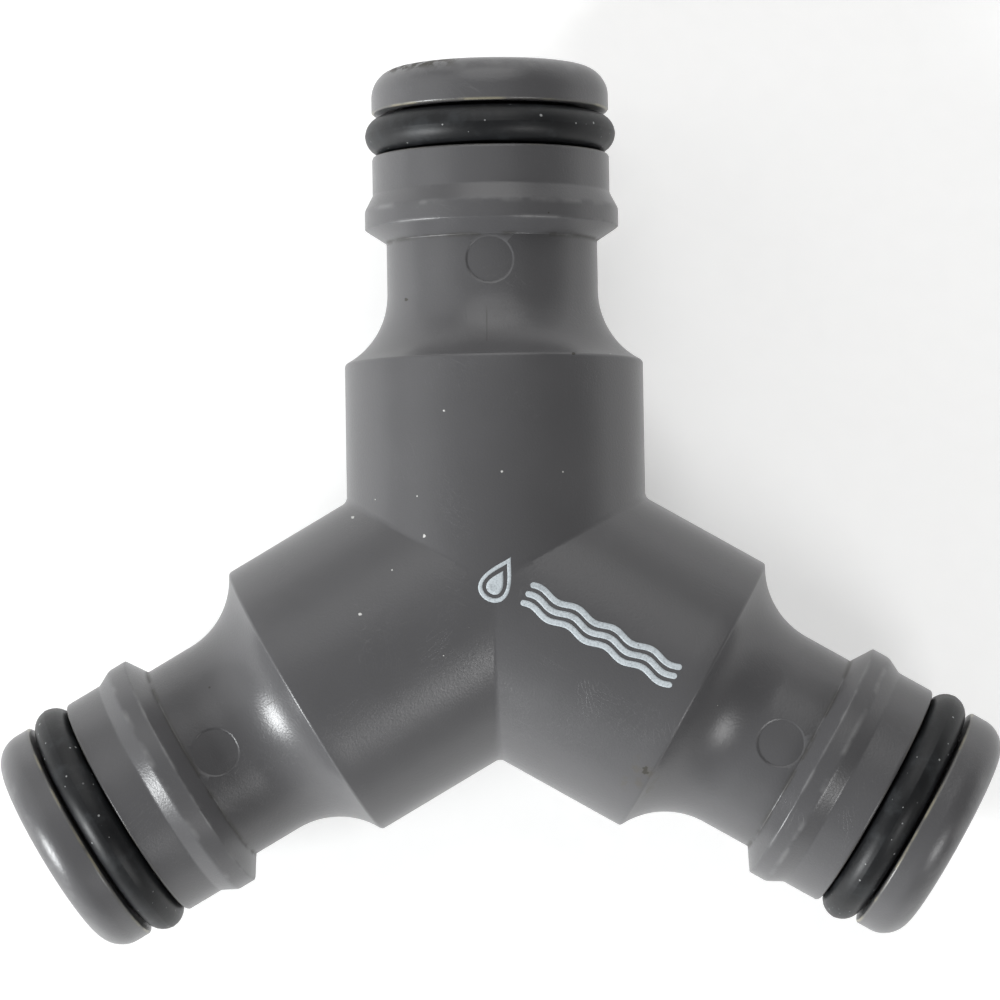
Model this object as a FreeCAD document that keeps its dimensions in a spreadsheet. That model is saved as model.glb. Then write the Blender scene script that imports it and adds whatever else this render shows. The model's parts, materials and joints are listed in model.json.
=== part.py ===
"""Three-way hose splitter: one moulded Y body with three quick-connector nipples, and an O-ring on each.

The part lies flat. The origin is the point where the axes of its three waterways cross, +Z points out of
the face that carries the ejector-pin marks, and +Y runs out along the inlet nipple. The two outlets are
the same nipple turned by 120 and 240 degrees about Z. Lengths are in millimetres.
"""

import FreeCAD, Part
import math
import os

import Sketcher

DIMENSIONS = [
    ("arm_count", 3, "nipples around the hub"),
    ("hub_radius", 10.0, "outside of each hub branch"),
    ("neck_radius", 7.06, "waist behind the collar, where a connector's claws close"),
    ("flare_radius", 5.36, "concave sweep from the hub down to the neck"),
    ("flare_end", 19.76, "along the arm, where the sweep meets the neck"),
    ("collar_radius", 8.5, "locking collar"),
    ("collar_start", 23.1, "foot of the collar's locking ramp"),
    ("collar_ramp", 0.95, "length of the locking ramp"),
    ("collar_end", 25.3, "front end of the collar's cylinder"),
    ("land_start", 26.35, "foot of the collar's front chamfer"),
    ("nose_radius", 7.95, "land behind the O-ring and flange in front of it"),
    ("groove_start", 28.93, "O-ring groove, hub side"),
    ("groove_end", 31.82, "O-ring groove, nose side"),
    ("groove_floor_radius", 5.78, "bottom of the O-ring groove"),
    ("nose_end", 34.83, "end face of the nipple"),
    ("nose_round", 1.88, "rounding from the nose flange to the end face"),
    ("bore_radius", 4.5, "waterway"),
    ("shoulder_round", 0.25, "edge between hub and sweep"),
    ("foot_round", 0.12, "hollow at the foot of the locking ramp"),
    ("ramp_round", 0.15, "edge between locking ramp and collar"),
    ("collar_round", 0.6, "edge between collar and front chamfer"),
    ("lip_round", 0.18, "both lips of the O-ring groove"),
    ("mouth_round", 0.5, "edge of the waterway's mouth"),
    ("mark_radius", 1.6, "ejector-pin mark on each neck"),
    ("mark_along", 21.4, "centre of the ejector-pin mark, along the arm"),
    ("mark_depth", 0.22, "flat of the ejector-pin mark below the neck's crest"),
    ("dimple_radius", 1.7, "round recess of the moulding gate, on the back"),
    ("dimple_depth", 0.35, "depth of that recess"),
    ("gate_radius", 0.6, "stub left where the gate was sheared off"),
    ("gate_height", 0.2, "height of the stub, still below the hub's surface"),
    ("cord_radius", 1.31, "section of the O-ring's cord"),
    ("ring_radius", 7.1, "centre line of the fitted O-ring"),
    ("ring_along", 30.34, "centre of the fitted O-ring, along the arm"),
]

# where the hub's cylinder ends, so that the sweep leaves it and arrives tangent to the neck
SHOULDER = (
    "dims.flare_end - sqrt(dims.flare_radius ^ 2"
    " - (dims.flare_radius - dims.hub_radius + dims.neck_radius) ^ 2)"
)
RAMP_END = "dims.collar_start + dims.collar_ramp"

INLET = "inlet_o_ring"
LEFT_OUTLET = "left_outlet_o_ring"
RIGHT_OUTLET = "right_outlet_o_ring"
BODY = "splitter_body"

CENTRE_ON_LEFT = 1
CENTRE_ON_RIGHT = -1
CUT_CLEARANCE = 2.0
MATCH = 1e-3


def make_sheet(document):
    """Put the driving dimensions in a sheet whose cells are named after them."""
    sheet = document.addObject("Spreadsheet::Sheet", "dims")
    for row, (alias, value, meaning) in enumerate(DIMENSIONS, 1):
        sheet.set(f"A{row}", alias)
        sheet.set(f"B{row}", str(value))
        sheet.set(f"C{row}", meaning)
        sheet.setAlias(f"B{row}", alias)
    document.recompute()
    return sheet


def origin_feature(body, role):
    """Find one of the body's own origin planes or axes."""
    for feature in body.Origin.OriginFeatures:
        if feature.Role == role:
            return feature
    raise LookupError(role)


def flat_sketch(body, name, height="0"):
    """Start a sketch in the XY plane, or parallel to it at a height given as a formula."""
    sketch = body.newObject("Sketcher::SketchObject", name)
    sketch.AttachmentSupport = [(origin_feature(body, "XY_Plane"), "")]
    sketch.MapMode = "FlatFace"
    if height != "0":
        sketch.setExpression("AttachmentOffset.Base.z", height)
    return sketch


def pin_point(sketch, side, end, corner):
    """Hold one end of a side at a corner, given as a pair of formulas."""
    across, along = corner
    if across == "0":
        sketch.addConstraint(Sketcher.Constraint("PointOnObject", side, end, -2))
    else:
        value = sketch.evalExpression(across)
        index = sketch.addConstraint(Sketcher.Constraint("DistanceX", -1, 1, side, end, value))
        sketch.setExpression(f"Constraints[{index}]", across)
    if along == "0":
        sketch.addConstraint(Sketcher.Constraint("PointOnObject", side, end, -1))
    else:
        value = sketch.evalExpression(along)
        index = sketch.addConstraint(Sketcher.Constraint("DistanceY", -1, 1, side, end, value))
        sketch.setExpression(f"Constraints[{index}]", along)


def arc_between(start, end, radius, centre_side):
    """Make the shorter arc from start to end, with its centre on the given side of the chord."""
    chord = end - start
    middle = start + chord * 0.5
    reach = math.sqrt(radius**2 - (chord.Length / 2) ** 2)
    normal = FreeCAD.Vector(-chord.y, chord.x, 0).normalize()
    centre = middle + normal * (reach * centre_side)
    first, last = (start, end) if centre_side == CENTRE_ON_LEFT else (end, start)
    first_angle = math.atan2(first.y - centre.y, first.x - centre.x)
    last_angle = math.atan2(last.y - centre.y, last.x - centre.x)
    circle = Part.Circle(centre, FreeCAD.Vector(0, 0, 1), radius)
    return Part.ArcOfCircle(circle, first_angle, last_angle)


def draw_outline(sketch, corners, arcs):
    """Close an outline through the corners.

    A corner is a pair of formulas, for its distance from the axis and its place along it. arcs maps the
    number of the corner that a side starts at to that side's radius formula and the side its centre is on.
    """
    points = [
        FreeCAD.Vector(float(sketch.evalExpression(across)), float(sketch.evalExpression(along)), 0)
        for across, along in corners
    ]
    ends = []
    for number, start in enumerate(points):
        end = points[(number + 1) % len(points)]
        if number in arcs:
            radius, centre_side = arcs[number]
            arc = arc_between(start, end, float(sketch.evalExpression(radius)), centre_side)
            side = sketch.addGeometry(arc)
            index = sketch.addConstraint(Sketcher.Constraint("Radius", side, arc.Circle.Radius))
            sketch.setExpression(f"Constraints[{index}]", radius)
            ends.append((side, 1, 2) if centre_side == CENTRE_ON_LEFT else (side, 2, 1))
        else:
            ends.append((sketch.addGeometry(Part.LineSegment(start, end)), 1, 2))
    for number, (side, start_end, _) in enumerate(ends):
        previous, _, previous_end = ends[number - 1]
        sketch.addConstraint(Sketcher.Constraint("Coincident", previous, previous_end, side, start_end))
        pin_point(sketch, side, start_end, corners[number])


def draw_circle(sketch, radius, along="0", across="0"):
    """Draw one circle, its radius and centre given as formulas."""
    centre = FreeCAD.Vector(float(sketch.evalExpression(across)), float(sketch.evalExpression(along)), 0)
    size = float(sketch.evalExpression(radius))
    side = sketch.addGeometry(Part.Circle(centre, FreeCAD.Vector(0, 0, 1), size))
    index = sketch.addConstraint(Sketcher.Constraint("Radius", side, size))
    sketch.setExpression(f"Constraints[{index}]", radius)
    pin_point(sketch, side, 3, (across, along))


def turn(body, kind, name, sketch):
    """Revolve a sketch about its own vertical axis, to add or to cut material."""
    feature = body.newObject(kind, name)
    feature.Profile = sketch
    feature.ReferenceAxis = (sketch, ["V_Axis"])
    feature.Angle = 360
    sketch.Document.recompute()
    return feature


def pocket(body, name, sketch, upwards):
    """Cut a sketch's area out of the body from the sketch's plane to well clear of the surface."""
    feature = body.newObject("PartDesign::Pocket", name)
    feature.Profile = sketch
    feature.Length = CUT_CLEARANCE
    feature.Reversed = upwards
    sketch.Document.recompute()
    return feature


def repeat_around_hub(body, name, originals):
    """Repeat features once for each arm, about the Z axis."""
    pattern = body.newObject("PartDesign::PolarPattern", name)
    pattern.Originals = originals
    pattern.Axis = (origin_feature(body, "Z_Axis"), [""])
    pattern.Angle = 360
    pattern.setExpression("Occurrences", "dims.arm_count")
    body.Tip = pattern
    body.Document.recompute()
    return pattern


def ring_edges(shape, radius, along):
    """Name the circular edges of this radius whose centre lies this far out along an arm."""
    names = []
    for number, edge in enumerate(shape.Edges, 1):
        curve = edge.Curve
        if not isinstance(curve, Part.Circle):
            continue
        if abs(curve.Radius - radius) < MATCH and abs(curve.Center.Length - along) < MATCH:
            names.append(f"Edge{number}")
    return names


def round_rings(body, name, size, rings):
    """Round the circular edges at the given (radius, along) formulas on every arm."""
    base = body.Tip
    edges = []
    for radius, along in rings:
        found = ring_edges(
            base.Shape, float(body.evalExpression(radius)), float(body.evalExpression(along))
        )
        if not found:
            raise LookupError(f"{name}: no edge of radius {radius} at {along}")
        edges += found
    feature = body.newObject("PartDesign::Fillet", name)
    feature.Base = (base, edges)
    feature.setExpression("Radius", size)
    body.Document.recompute()
    return feature


def expect_volume(feature, before, grows):
    """Stop if a feature left the volume as it was, or changed it the wrong way."""
    change = feature.Shape.Volume - before
    if change * (1 if grows else -1) <= 0:
        raise RuntimeError(f"{feature.Label} changed the volume by {change} mm3")
    return feature.Shape.Volume


def make_arms(body):
    """Turn one branch of the hub with its nipple, and repeat it around the hub."""
    sketch = flat_sketch(body, "arm_outline")
    corners = [
        ("0", "0"),
        ("dims.hub_radius", "0"),
        ("dims.hub_radius", SHOULDER),
        ("dims.neck_radius", "dims.flare_end"),
        ("dims.neck_radius", "dims.collar_start"),
        ("dims.collar_radius", RAMP_END),
        ("dims.collar_radius", "dims.collar_end"),
        ("dims.nose_radius", "dims.land_start"),
        ("dims.nose_radius", "dims.groove_start"),
        ("dims.groove_floor_radius", "dims.groove_start"),
        ("dims.groove_floor_radius", "dims.groove_end"),
        ("dims.nose_radius", "dims.groove_end"),
        ("dims.nose_radius", "dims.nose_end - dims.nose_round"),
        ("dims.nose_radius - dims.nose_round", "dims.nose_end"),
        ("0", "dims.nose_end"),
    ]
    sweep_start = 2
    nose_start = 12
    arcs = {
        sweep_start: ("dims.flare_radius", CENTRE_ON_RIGHT),
        nose_start: ("dims.nose_round", CENTRE_ON_LEFT),
    }
    draw_outline(sketch, corners, arcs)
    arm = turn(body, "PartDesign::Revolution", "arm", sketch)
    arms = repeat_around_hub(body, "arms", [arm])
    return expect_volume(arms, arm.Shape.Volume, grows=True)


def make_waterways_and_marks(body, volume):
    """Bore the waterway and press the ejector-pin mark, and repeat both for every arm."""
    bore_sketch = flat_sketch(body, "bore_outline")
    corners = [
        ("0", "0"),
        ("dims.bore_radius", "0"),
        ("dims.bore_radius", "dims.nose_end"),
        ("0", "dims.nose_end"),
    ]
    draw_outline(bore_sketch, corners, {})
    bore = turn(body, "PartDesign::Groove", "bore", bore_sketch)
    volume = expect_volume(bore, volume, grows=False)
    mark_sketch = flat_sketch(body, "mark_outline", "dims.neck_radius - dims.mark_depth")
    draw_circle(mark_sketch, "dims.mark_radius", along="dims.mark_along")
    mark = pocket(body, "ejector_mark", mark_sketch, upwards=True)
    volume = expect_volume(mark, volume, grows=False)
    pattern = repeat_around_hub(body, "bores_and_marks", [bore, mark])
    return expect_volume(pattern, volume, grows=False)


def make_gate(body, volume):
    """Sink the gate's round recess into the back of the hub and leave its stub standing in it."""
    floor = "-(dims.hub_radius - dims.dimple_depth)"
    dimple_sketch = flat_sketch(body, "dimple_outline", floor)
    draw_circle(dimple_sketch, "dims.dimple_radius")
    dimple = pocket(body, "gate_dimple", dimple_sketch, upwards=False)
    volume = expect_volume(dimple, volume, grows=False)
    stub_sketch = flat_sketch(body, "gate_outline", floor)
    draw_circle(stub_sketch, "dims.gate_radius")
    stub = body.newObject("PartDesign::Pad", "gate_stub")
    stub.Profile = stub_sketch
    stub.setExpression("Length", "dims.gate_height")
    stub.Reversed = True
    body.Document.recompute()
    return expect_volume(stub, volume, grows=True)


def round_edges(body):
    """Round the edges that the mould leaves soft."""
    round_rings(body, "shoulder_rounds", "dims.shoulder_round", [("dims.hub_radius", SHOULDER)])
    round_rings(body, "foot_rounds", "dims.foot_round", [("dims.neck_radius", "dims.collar_start")])
    round_rings(body, "ramp_rounds", "dims.ramp_round", [("dims.collar_radius", RAMP_END)])
    round_rings(body, "collar_rounds", "dims.collar_round", [("dims.collar_radius", "dims.collar_end")])
    lips = [("dims.nose_radius", "dims.groove_start"), ("dims.nose_radius", "dims.groove_end")]
    round_rings(body, "lip_rounds", "dims.lip_round", lips)
    round_rings(body, "mouth_rounds", "dims.mouth_round", [("dims.bore_radius", "dims.nose_end")])


def make_splitter_body(document):
    """Model the one-piece moulding."""
    body = document.addObject("PartDesign::Body", BODY)
    volume = make_arms(body)
    volume = make_waterways_and_marks(body, volume)
    make_gate(body, volume)
    round_edges(body)
    body.Placement = FreeCAD.Placement()
    return body


def make_o_ring(document, name, turns):
    """Model one fitted O-ring, turned about Z by a number of arms from the inlet."""
    body = document.addObject("PartDesign::Body", name)
    sketch = flat_sketch(body, f"{name}_section")
    draw_circle(sketch, "dims.cord_radius", along="dims.ring_along", across="dims.ring_radius")
    turn(body, "PartDesign::Revolution", f"{name}_cord", sketch)
    body.setExpression("Placement.Rotation.Angle", f"{turns} * 360 / dims.arm_count")
    return body


def check(document, bodies):
    """Stop if any object failed or any sub-part is missing or invalid."""
    for item in document.Objects:
        if "Invalid" in item.State or "Error" in item.State:
            raise RuntimeError(f"{item.Label} failed: {item.State}")
    for body in bodies:
        if body.Shape.isNull() or not body.Shape.isValid():
            raise RuntimeError(f"{body.Label} has no valid shape")
        if len(body.Shape.Solids) != 1:
            raise RuntimeError(f"{body.Label} has {len(body.Shape.Solids)} solids")


def main():
    """Build every sub-part, check them and write one STEP file each."""
    os.makedirs("parts", exist_ok=True)
    document = FreeCAD.newDocument("hose_splitter")
    make_sheet(document)
    bodies = [make_splitter_body(document)]
    for turns, name in enumerate((INLET, LEFT_OUTLET, RIGHT_OUTLET)):
        bodies.append(make_o_ring(document, name, turns))
    document.recompute()
    check(document, bodies)
    for body in bodies:
        body.Shape.exportStep(f"parts/{body.Label}.step")
        print(f"{body.Label}: {body.Shape.Volume:.1f} mm3")


main()
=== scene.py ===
"""Visual model of a three-way hose splitter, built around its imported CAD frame.

The moulding is one closed surface: each nipple is a profile carried round its own axis, its rows start on
the planes that halve the angles between the branches, and a small round cap closes the hub above and
below the point where the branches meet. Each O-ring is a torus with the fine flash line of its mould. The
print is a generic water sign: ink ribbons that follow the surface. Shapes are worked out in millimetres and
put into their meshes in metres.
"""

import json
import logging
import math
from dataclasses import dataclass
from enum import Enum
from typing import Any, Sequence

import bmesh
import bpy
import numpy as np
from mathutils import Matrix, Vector


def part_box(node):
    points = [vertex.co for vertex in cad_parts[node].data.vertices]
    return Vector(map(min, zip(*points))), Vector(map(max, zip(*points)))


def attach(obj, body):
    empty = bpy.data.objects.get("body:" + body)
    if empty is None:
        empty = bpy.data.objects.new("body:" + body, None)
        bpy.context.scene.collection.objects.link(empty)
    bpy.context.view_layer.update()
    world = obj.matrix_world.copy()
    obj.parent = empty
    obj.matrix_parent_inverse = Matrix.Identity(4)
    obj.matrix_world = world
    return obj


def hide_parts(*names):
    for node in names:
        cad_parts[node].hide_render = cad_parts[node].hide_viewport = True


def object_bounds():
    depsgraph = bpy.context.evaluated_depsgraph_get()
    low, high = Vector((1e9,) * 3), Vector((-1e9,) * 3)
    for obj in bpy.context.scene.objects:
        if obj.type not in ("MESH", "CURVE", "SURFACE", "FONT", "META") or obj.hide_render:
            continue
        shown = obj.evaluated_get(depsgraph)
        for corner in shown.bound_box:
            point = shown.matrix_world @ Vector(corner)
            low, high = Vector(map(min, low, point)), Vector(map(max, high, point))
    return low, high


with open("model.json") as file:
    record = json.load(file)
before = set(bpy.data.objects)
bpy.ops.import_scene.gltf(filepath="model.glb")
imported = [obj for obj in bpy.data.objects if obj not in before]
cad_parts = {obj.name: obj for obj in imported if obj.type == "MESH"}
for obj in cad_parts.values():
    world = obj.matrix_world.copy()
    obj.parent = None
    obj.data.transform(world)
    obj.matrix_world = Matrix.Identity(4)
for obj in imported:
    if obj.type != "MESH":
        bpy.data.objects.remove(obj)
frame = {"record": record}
cad_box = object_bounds()

LOG = logging.getLogger("hose_splitter")
MM = 0.001
ROOT = "root"
BODY_NODE = "splitter_body"
SQRT3 = math.sqrt(3.0)
CREST = math.pi / 2.0
CLOSE = 1e-6  # lengths in millimetres that differ by less are the same
NOTHING = 1e-9  # numbers smaller than this count as zero


class Arm(Enum):
    """The three branches, each with its turn about Z from the inlet, in degrees."""

    INLET = 0.0
    LEFT_OUTLET = 120.0
    RIGHT_OUTLET = 240.0

    @property
    def label(self) -> str:
        """The name that the frame's nodes and mounts begin with."""
        return self.name.lower()

    @property
    def outward(self) -> np.ndarray:
        """Unit vector along the arm, away from the hub."""
        angle = math.radians(90.0 + self.value)
        return np.array([math.cos(angle), math.sin(angle), 0.0])

    @property
    def across(self) -> np.ndarray:
        """Unit vector across the arm, to the right of someone looking out along it from above."""
        angle = math.radians(self.value)
        return np.array([math.cos(angle), math.sin(angle), 0.0])

    def place(self, local: np.ndarray) -> np.ndarray:
        """Carry points from the arm's own frame to the part's frame.

        Args:
            local: Points as (across, along, up), on the last axis.

        Returns:
            The same points as (x, y, z).
        """
        up = np.array([0.0, 0.0, 1.0])
        return local @ np.stack([self.across, self.outward, up])


# ---------------------------------------------------------------- meshes


def smooth_step(value: np.ndarray, low: float, high: float) -> np.ndarray:
    """Rise from 0 at low to 1 at high along 3x^2 - 2x^3, where x is the share of the way.

    Args:
        value: Values to map.
        low: Value that maps to 0.
        high: Value that maps to 1; it may be smaller than low.

    Returns:
        The mapped values.
    """
    share = np.clip((value - low) / (high - low), 0.0, 1.0)
    return share * share * (3.0 - 2.0 * share)


def grid_faces(rows: int, columns: int, offset: int, wrap: bool = True) -> np.ndarray:
    """Number the quads of a grid of points stored row by row.

    Args:
        rows: Number of rows.
        columns: Number of points in a row.
        offset: Index of the grid's first point.
        wrap: Whether the last column joins the first.

    Returns:
        One quad per line.
    """
    last = columns if wrap else columns - 1
    row, column = np.meshgrid(np.arange(rows - 1), np.arange(last), indexing="ij")
    following = (column + 1) % columns
    corners = [row * columns + column, row * columns + following]
    corners += [(row + 1) * columns + following, (row + 1) * columns + column]
    return offset + np.stack(corners, axis=-1).reshape(-1, 4)


class SurfaceBuilder:
    """Gathers grids of points into one closed mesh."""

    def __init__(self) -> None:
        """Start with no points."""
        self.points: list[np.ndarray] = []
        self.faces: list[np.ndarray] = []
        self.count = 0

    def add_grid(self, grid: np.ndarray) -> None:
        """Add a grid of points, in millimetres, whose rows close on themselves.

        Args:
            grid: Array of rows by columns by 3.
        """
        rows, columns, _ = grid.shape
        self.faces.append(grid_faces(rows, columns, self.count))
        self.points.append(grid.reshape(-1, 3))
        self.count += rows * columns

    def finish(self, name: str, weld: float = 2e-4) -> bpy.types.Object:
        """Make the mesh, weld its seams, and turn its faces outwards.

        Args:
            name: Name of the new piece.
            weld: Distance in millimetres within which points become one.

        Returns:
            The piece, at the origin.
        """
        points = np.concatenate(self.points) * MM
        mesh = bpy.data.meshes.new(name)
        mesh.from_pydata(points.tolist(), [], np.concatenate(self.faces).tolist())
        work = bmesh.new()
        work.from_mesh(mesh)
        bmesh.ops.remove_doubles(work, verts=work.verts, dist=weld * MM)
        bmesh.ops.recalc_face_normals(work, faces=work.faces)
        if work.calc_volume(signed=True) < 0:
            bmesh.ops.reverse_faces(work, faces=work.faces)
        loose = sum(1 for edge in work.edges if len(edge.link_faces) != 2)
        work.to_mesh(mesh)
        work.free()
        mesh.shade_smooth()
        piece = bpy.data.objects.new(name, mesh)
        bpy.context.scene.collection.objects.link(piece)
        LOG.info("%s: %d faces, %d open edges", name, len(mesh.polygons), loose)
        return piece


@dataclass(frozen=True)
class Corner:
    """A corner of a turned outline, with the radius that rounds it and the steps of that round."""

    radius: float
    along: float
    round: float = 0.0
    steps: int = 4


def round_corner(before: np.ndarray, corner: Corner, after: np.ndarray) -> np.ndarray:
    """Round one corner of an outline.

    The arc touches both sides at the distance round * tan(turn / 2) from the corner. Its centre is square
    to the first side at the first touching point, and the arc is that point turned about the centre in
    equal steps.

    Args:
        before: Corner before it, as (radius, along).
        corner: The corner itself.
        after: Corner after it.

    Returns:
        The arc's points, in order.
    """
    point = np.array([corner.radius, corner.along])
    arrive = (point - before) / np.linalg.norm(point - before)
    leave = (after - point) / np.linalg.norm(after - point)
    cross = arrive[0] * leave[1] - arrive[1] * leave[0]
    turn = math.atan2(cross, float(arrive @ leave))
    reach = corner.round * math.tan(abs(turn) / 2.0)
    touch = point - arrive * reach
    normal = np.array([-arrive[1], arrive[0]]) * math.copysign(corner.round, turn)
    angle = np.linspace(0.0, turn, corner.steps + 1)[:, None]
    cosine, sine = np.cos(angle), np.sin(angle)
    start = -normal
    turned = np.hstack([start[0] * cosine - start[1] * sine, start[0] * sine + start[1] * cosine])
    return touch + normal + turned


def trace_outline(corners: Sequence[Corner], hold: float, step: float) -> np.ndarray:
    """Trace an outline through its rounded corners.

    Args:
        corners: The corners; the first and last only give a direction.
        hold: Distance from each round to the extra row that keeps the flat beside it flat.
        step: Longest run between two rows.

    Returns:
        Points as (radius, along), from the first round to the last.
    """
    flat = [np.array([corner.radius, corner.along]) for corner in corners]
    runs: list[np.ndarray] = []
    for index in range(1, len(corners) - 1):
        arc = round_corner(flat[index - 1], corners[index], flat[index + 1])
        if runs:
            start, end = runs[-1][-1], arc[0]
            length = float(np.linalg.norm(end - start))
            stops = [hold, length - hold] if length > 3.0 * hold else []
            inner = np.arange(1, int(length / step) + 1) * length / (int(length / step) + 1)
            clear = inner[(inner > 2.0 * hold) & (inner < length - 2.0 * hold)]
            share = np.sort(np.concatenate([stops, clear]))[:, None] / length
            runs.append(start + (end - start) * share)
        runs.append(arc)
    return np.concatenate(runs)


# ---------------------------------------------------------------- the moulding


@dataclass
class Moulding:
    """The one-piece Y body: hub, three nipples and the waterway through them. Sizes are in millimetres."""

    hub_radius: float = 10.0
    bore_radius: float = 4.5
    collar_radius: float = 8.5
    nose_end: float = 34.83
    neck_radius: float = 7.06
    nose_radius: float = 7.95
    floor_radius: float = 5.78
    flare_radius: float = 5.36
    flare_end: float = 19.76
    shoulder_lead: float = 0.2
    shoulder_slope: float = 0.88
    collar_start: float = 23.1
    collar_rise: float = 24.05
    collar_end: float = 25.3
    land_start: float = 26.35
    groove_start: float = 28.93
    groove_end: float = 31.82
    nose_round: float = 1.88
    valley_round: float = 0.65
    valley_steps: int = 6
    hub_rows: int = 12
    bore_rows: int = 14
    side_columns: int = 34
    gate_columns: int = 11
    crown_reach: float = 1.0
    mark_along: float = 21.4
    mark_radius: float = 1.6
    mark_depth: float = 0.08
    mark_wall: float = 0.06
    mark_lip: float = 0.05
    mark_guard: float = 0.13
    mark_straight: float = 0.023
    mark_fade: float = 0.6
    mark_zone: float = 3.0
    seam_height: float = 0.022
    seam_columns: tuple[float, ...] = (0.0, 0.35, 0.9, 1.8)
    dimple_radius: float = 1.7
    dimple_depth: float = 0.35
    dimple_wall: float = 0.08
    gate_radius: float = 0.6
    gate_height: float = 0.2
    name: str = "moulded_body"

    def from_frame(self) -> "Moulding":
        """Take the sizes that the frame states from the frame.

        Returns:
            The same moulding.
        """
        low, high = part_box(BODY_NODE)
        self.hub_radius = (high[2] - low[2]) / 2.0 / MM
        self.nose_end = high[1] / MM
        stated = {mount["name"]: mount["dims"]["r_mm"] for mount in frame["record"]["mounts"]}
        self.bore_radius = stated["inlet_bore"]
        self.collar_radius = stated["inlet_collar"]
        return self

    # ------------------------------------------------------------ rows and columns

    def outline(self) -> np.ndarray:
        """Outline of a nipple, from the end of the hub's cylinder round the nose into the waterway.

        The sweep from the hub to the neck is a corner rounded by the flare's radius: its first side leaves
        the shoulder at the angle whose cosine is 1 - (drop / flare radius).

        Returns:
            Points as (radius, along).
        """
        lead_drop = self.shoulder_lead * self.shoulder_slope
        drop = self.hub_radius - lead_drop - self.neck_radius
        angle = math.acos(1.0 - drop / self.flare_radius)
        flare_start = self.flare_end - self.flare_radius * math.sin(angle)
        shoulder = flare_start - self.shoulder_lead * math.cos(angle)
        sweep = self.flare_end - self.flare_radius * math.tan(angle / 2.0)
        corners = [
            Corner(self.hub_radius, shoulder - 2.0),
            Corner(self.hub_radius, shoulder, 0.25, 4),
            Corner(self.neck_radius, sweep, self.flare_radius, 16),
            Corner(self.neck_radius, self.collar_start, 0.1, 3),
            Corner(self.collar_radius, self.collar_rise, 0.15, 4),
            Corner(self.collar_radius, self.collar_end, 0.6, 4),
            Corner(self.nose_radius, self.land_start, 0.35, 3),
            Corner(self.nose_radius, self.groove_start, 0.18, 4),
            Corner(self.floor_radius, self.groove_start, 0.2, 3),
            Corner(self.floor_radius, self.groove_end, 0.2, 3),
            Corner(self.nose_radius, self.groove_end, 0.18, 4),
            Corner(self.nose_radius, self.nose_end, self.nose_round, 12),
            Corner(self.bore_radius, self.nose_end, 0.5, 5),
            Corner(self.bore_radius, self.nose_end - 5.0),
        ]
        points = trace_outline(corners, hold=0.07, step=0.9)
        return self.with_mark_rows(points)

    def mark_lines(self) -> np.ndarray:
        """Distances from the ejector mark's centre at which the grid has lines, on one side.

        A line inside the mark's wall and two outside it keep the surfaces beside it true.

        Returns:
            Distances in millimetres, from the centre outwards.
        """
        edge = self.mark_radius
        inner = [0.0, 0.45, 0.9, 1.25, edge - self.mark_guard, edge - self.mark_wall]
        return np.array([*inner, edge, edge + self.mark_lip, edge + self.mark_guard])

    def with_mark_rows(self, points: np.ndarray) -> np.ndarray:
        """Replace the rows of the neck by rows that suit the round ejector mark.

        Just beyond the mark one straight row stands before the collar's foot and keeps its shading crisp.

        Args:
            points: The nipple's outline, as (radius, along).

        Returns:
            The outline with the new rows.
        """
        reach = self.mark_lines()
        ahead = reach[(reach > 0.0) & (reach <= self.mark_radius)]
        straight = self.mark_radius + self.mark_straight
        lines = self.mark_along + np.concatenate([-reach[::-1], ahead, [straight]])
        on_neck = np.abs(points[:, 0] - self.neck_radius) < CLOSE
        clearance = 0.1
        inside = on_neck & (points[:, 1] > lines[0] - clearance) & (points[:, 1] < lines[-1])
        kept = points[~inside]
        rows = np.stack([np.full(lines.shape, self.neck_radius), lines], axis=1)
        outside = np.argmax(kept[:, 0] < self.neck_radius - CLOSE)
        split = int(np.searchsorted(kept[:outside, 1], lines[0]))
        return np.concatenate([kept[:split], rows, kept[split:]])

    def angles(self) -> np.ndarray:
        """Angles of the columns round an arm, from its right side, the same on its left and right.

        They crowd together over the ejector mark, under the hub's gate, and beside the mould's seam.

        Returns:
            Angles in radians, from 0 to just under a full turn.
        """
        top = np.arcsin(self.mark_lines() / self.neck_radius)
        bottom = np.linspace(0.0, top[-1], self.gate_columns)
        seam = np.radians(self.seam_columns)
        upper = np.linspace(CREST - top[-1], seam[-1], self.side_columns)
        lower = np.linspace(-seam[-1], bottom[-1] - CREST, self.side_columns)
        upper_right = [CREST - top, upper[1:-1], seam[::-1]]
        lower_right = [-seam[1:], lower[1:-1], bottom[::-1] - CREST]
        right = np.concatenate(upper_right + lower_right)
        left = np.pi - right[np.abs(right) < CREST - NOTHING]
        return np.unique(np.round(np.mod(np.concatenate([right, left]), 2.0 * np.pi), 12))

    # ------------------------------------------------------------ the hub's surface

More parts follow.
